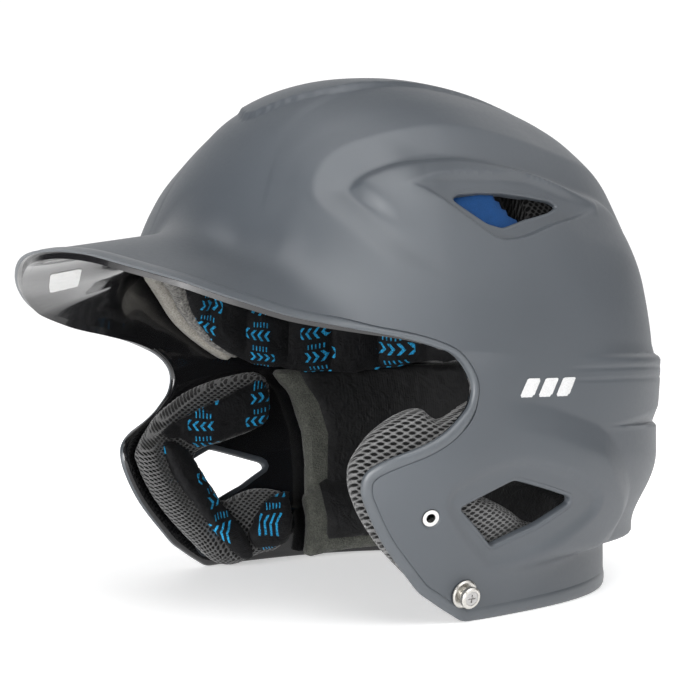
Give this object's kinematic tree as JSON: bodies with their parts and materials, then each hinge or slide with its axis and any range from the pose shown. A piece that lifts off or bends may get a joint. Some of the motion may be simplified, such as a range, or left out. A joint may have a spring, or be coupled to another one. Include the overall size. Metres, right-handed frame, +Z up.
{
  "type": "batting helmet",
  "caption": "Two-flap batting helmet: moulded shell with brim, vents and ear holes, foam and fabric liner, strap studs and faceguard inserts.",
  "frame": {"origin": "centre of the outside box at the level of the lower rim, on the plane of left-right symmetry", "axes": "-Y towards the brim, +X towards the wearer's left, +Z up to the crown"},
  "size_m": [0.2096, 0.287, 0.218],
  "materials": {
    "shell_plastic": "moulded, soft matte paint outside, gloss black inside",
    "light_foam": "cut closed-cell foam",
    "speckled_foam": "rebonded speckled foam",
    "black_foam": "closed-cell foam",
    "blue_foam": "smooth skinned foam",
    "olive_foam": "cut closed-cell foam",
    "printed_fabric": "satin knit with a small blue print",
    "black_fabric": "brushed knit",
    "spacer_mesh": "open spacer mesh over foam",
    "bright_nickel": "polished nickel",
    "satin_nickel": "satin nickel plate",
    "screw_steel": "machined steel",
    "zinc_steel": "zinc plate",
    "hook_tape": "hook-and-loop tape",
    "label_paper": "blank paper label",
    "white_print": "pad print"
  },
  "bodies": {
    "root": {"shell": "shell_plastic", "front_firm_foam": "light_foam", "front_comfort_foam": "speckled_foam", "side_foam_left": "black_foam", "side_foam_right": "black_foam", "headband_cover": "printed_fabric", "crown_pad_top": "black_fabric", "crown_pad_left": "blue_foam", "crown_pad_right": "blue_foam", "crown_mesh_left": "spacer_mesh", "crown_mesh_right": "spacer_mesh", "rear_foam": "olive_foam", "rear_cover": "black_fabric", "ear_pad_left": "spacer_mesh", "ear_pad_right": "spacer_mesh", "ear_strip_upper_left": "printed_fabric", "ear_strip_front_left": "printed_fabric", "ear_strip_lower_left": "printed_fabric", "ear_strip_upper_right": "printed_fabric", "ear_strip_front_right": "printed_fabric", "ear_strip_lower_right": "printed_fabric", "faceguard_insert_left": "bright_nickel", "faceguard_insert_right": "bright_nickel", "snap_nut_left": "zinc_steel", "snap_nut_right": "zinc_steel", "snap_washer_left": "satin_nickel", "snap_washer_right": "satin_nickel", "snap_stud_left": "satin_nickel", "snap_stud_right": "satin_nickel", "snap_screw_left": "screw_steel", "snap_screw_right": "screw_steel", "hook_dots": "hook_tape", "brim_label": "label_paper", "side_mark_left": "white_print", "side_mark_right": "white_print"}
  },
  "joints": []
}
